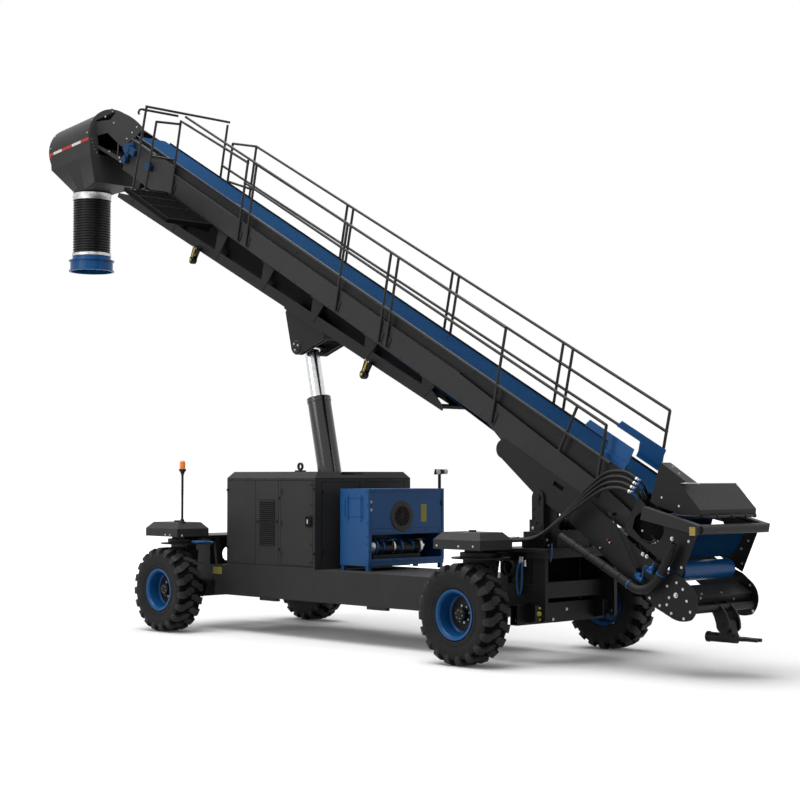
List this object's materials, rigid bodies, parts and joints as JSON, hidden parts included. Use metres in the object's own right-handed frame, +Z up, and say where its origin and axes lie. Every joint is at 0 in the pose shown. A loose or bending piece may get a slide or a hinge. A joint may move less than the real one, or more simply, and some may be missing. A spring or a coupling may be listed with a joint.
{
  "type": "mobile loading conveyor",
  "caption": "Four-wheel-steer mobile loading conveyor with a luffing belt boom, handrails, a discharge hood with a bellows chute, one wide lift cylinder, a dark enclosure and a blue power unit.",
  "frame": {"origin": "on the floor, midway between the two wheel pairs, on the chassis centre line", "axes": "+X along the machine to the intake end, +Y to the side with no landing, +Z up"},
  "size_m": [15.5385, 3.5032, 9.4006],
  "materials": {
    "black_paint": "satin",
    "blue_paint": "satin",
    "steel": "brushed",
    "rod_chrome": "polished",
    "tyre_rubber": "matt",
    "belt_rubber": "matt",
    "bellows_rubber": "matt",
    "amber_lens": "gloss"
  },
  "bodies": {
    "chassis": {"chassis_frame": "black_paint", "bridge_front": "black_paint", "bridge_rear": "black_paint", "steer_covers": "black_paint", "enclosure_shell": "black_paint", "enclosure_louvre": "black_paint", "lifting_eye": "black_paint", "power_unit_case": "blue_paint", "motor_pump_set": "black_paint", "engine_block": "black_paint", "pivot_tower": "black_paint", "work_lamp_post": "black_paint", "beacon_mast": "amber_lens", "cylinder_anchor": "black_paint"},
    "cabinet_door": {"enclosure_door": "black_paint"},
    "unit_hatch": {"power_unit_hatch": "blue_paint"},
    "boom": {"boom_side_plate_near": "black_paint", "boom_side_plate_far": "black_paint", "belt_skirts": "black_paint", "boom_crossmembers": "black_paint", "belt": "belt_rubber", "head_drum": "steel", "head_drive": "blue_paint", "tail_drums": "blue_paint", "intake_apron": "blue_paint", "lower_frame": "black_paint", "frame_castors": "black_paint", "lift_bracket": "black_paint", "tail_cheek_near": "black_paint", "tail_cheek_far": "black_paint", "hopper_sides": "black_paint", "tail_bumper": "black_paint", "tail_cover": "black_paint", "hopper_guards": "blue_paint", "hitch_clevis": "black_paint", "head_hood": "black_paint", "head_throat": "black_paint", "chute_bellows": "bellows_rubber", "chute_ring": "blue_paint", "handrail_near": "black_paint", "handrail_far": "black_paint", "landing_floor": "black_paint", "landing_rail": "black_paint", "hydraulic_hoses": "bellows_rubber", "service_pipes": "black_paint"},
    "coupler": {"coupler_block": "black_paint"},
    "lift_barrel": {"lift_barrel": "black_paint"},
    "lift_rod": {"lift_rod": "rod_chrome"},
    "leg_front_near": {"steering_leg_front_near": "black_paint"},
    "wheel_front_near": {"tyre_front_near": "tyre_rubber", "rim_front_near": "blue_paint"},
    "leg_front_far": {"steering_leg_front_far": "black_paint"},
    "wheel_front_far": {"tyre_front_far": "tyre_rubber", "rim_front_far": "blue_paint"},
    "leg_rear_near": {"steering_leg_rear_near": "black_paint"},
    "wheel_rear_near": {"tyre_rear_near": "tyre_rubber", "rim_rear_near": "blue_paint"},
    "leg_rear_far": {"steering_leg_rear_far": "black_paint"},
    "wheel_rear_far": {"tyre_rear_far": "tyre_rubber", "rim_rear_far": "blue_paint"}
  },
  "joints": [
    {"name": "boom_luff", "type": "hinge", "parent": "chassis", "child": "boom", "pos_m": [3.67922, 0, 2.19886], "axis": [0, 1, 0], "range_deg": [-9, 6]},
    {"name": "lift_barrel_swing", "type": "hinge", "parent": "chassis", "child": "lift_barrel", "pos_m": [-0.72, 0, 0.82], "axis": [0, 1, 0], "range_deg": [-8.5, 5.7]},
    {"name": "lift_rod_slide", "type": "slide", "parent": "lift_barrel", "child": "lift_rod", "axis": [-0.2229, 0, 0.9749], "range_m": [-0.725, 0.485]},
    {"name": "cabinet_door_hinge", "type": "hinge", "parent": "chassis", "child": "cabinet_door", "pos_m": [-1.35, -0.81, 1.77], "axis": [0, 0, -1], "range_deg": [0, 110]},
    {"name": "unit_hatch_hinge", "type": "hinge", "parent": "chassis", "child": "unit_hatch", "pos_m": [-0.186, -0.51, 2.015], "axis": [0, 0, -1], "range_deg": [0, 100]},
    {"name": "coupler_pivot", "type": "hinge", "parent": "boom", "child": "coupler", "pos_m": [6.41944, 0, 0.64677], "axis": [0, 1, 0], "range_deg": [-25, 25]},
    {"name": "steer_front_near", "type": "hinge", "parent": "chassis", "child": "leg_front_near", "pos_m": [3.31, -1.2, 0.675], "axis": [0, 0, 1], "range_deg": [-30, 30]},
    {"name": "wheel_front_near_spin", "type": "hinge", "parent": "leg_front_near", "child": "wheel_front_near", "pos_m": [3.31, -1.525, 0.675], "axis": [0, 1, 0], "continuous": true},
    {"name": "steer_front_far", "type": "hinge", "parent": "chassis", "child": "leg_front_far", "pos_m": [3.31, 1.2, 0.675], "axis": [0, 0, 1], "range_deg": [-30, 30]},
    {"name": "wheel_front_far_spin", "type": "hinge", "parent": "leg_front_far", "child": "wheel_front_far", "pos_m": [3.31, 1.525, 0.675], "axis": [0, 1, 0], "continuous": true},
    {"name": "steer_rear_near", "type": "hinge", "parent": "chassis", "child": "leg_rear_near", "pos_m": [-3.31, -1.2, 0.675], "axis": [0, 0, 1], "range_deg": [-30, 30]},
    {"name": "wheel_rear_near_spin", "type": "hinge", "parent": "leg_rear_near", "child": "wheel_rear_near", "pos_m": [-3.31, -1.525, 0.675], "axis": [0, 1, 0], "continuous": true},
    {"name": "steer_rear_far", "type": "hinge", "parent": "chassis", "child": "leg_rear_far", "pos_m": [-3.31, 1.2, 0.675], "axis": [0, 0, 1], "range_deg": [-30, 30]},
    {"name": "wheel_rear_far_spin", "type": "hinge", "parent": "leg_rear_far", "child": "wheel_rear_far", "pos_m": [-3.31, 1.525, 0.675], "axis": [0, 1, 0], "continuous": true}
  ],
  "couplings": [
    {"joint": "lift_barrel_swing", "follows": "boom_luff", "ratio": 0.935},
    {"joint": "lift_rod_slide", "follows": "boom_luff", "m_per_rad": 4.57}
  ]
}
